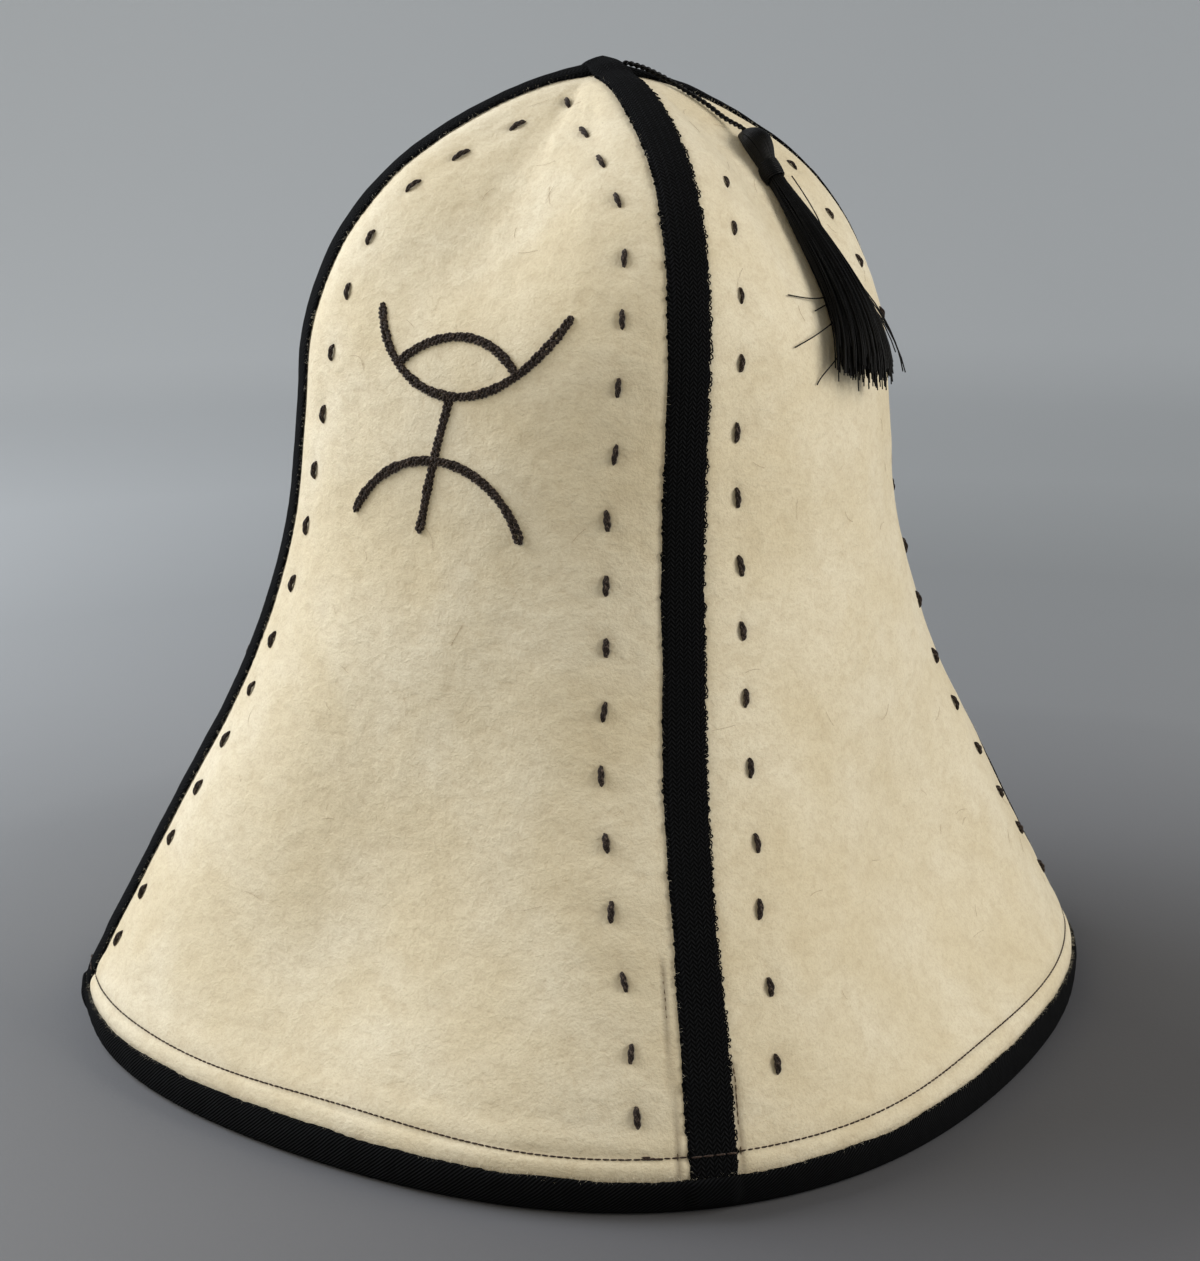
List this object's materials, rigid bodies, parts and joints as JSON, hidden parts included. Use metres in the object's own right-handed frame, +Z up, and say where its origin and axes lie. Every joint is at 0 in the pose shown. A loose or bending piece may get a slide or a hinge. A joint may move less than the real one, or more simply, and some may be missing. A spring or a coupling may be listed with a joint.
{
  "type": "kalpak felt hat",
  "caption": "Bell-shaped felt hat of gores with taped seams, a bound hem, a sign in chain stitch and a tassel on a cord.",
  "frame": {"origin": "on the surface that the hat stands on, under the middle of its hem", "axes": "+Z up, the front seam towards -Y, the side seams at +X and -X"},
  "size_m": [0.3576, 0.3577, 0.32],
  "materials": {
    "felt": "matte wool felt",
    "tape": "cotton twill",
    "wool_thread": "twisted wool yarn",
    "rayon_thread": "glossy thread"
  },
  "bodies": {
    "root": {"gore_front_left": "felt", "gore_front_right": "felt", "gore_back_left": "felt", "gore_back_right": "felt", "seam_tape_front_back": "tape", "seam_tape_side": "tape", "hem_binding": "tape", "embroidered_sign": "wool_thread", "tassel_cord": "rayon_thread", "tassel": "rayon_thread"}
  },
  "joints": []
}
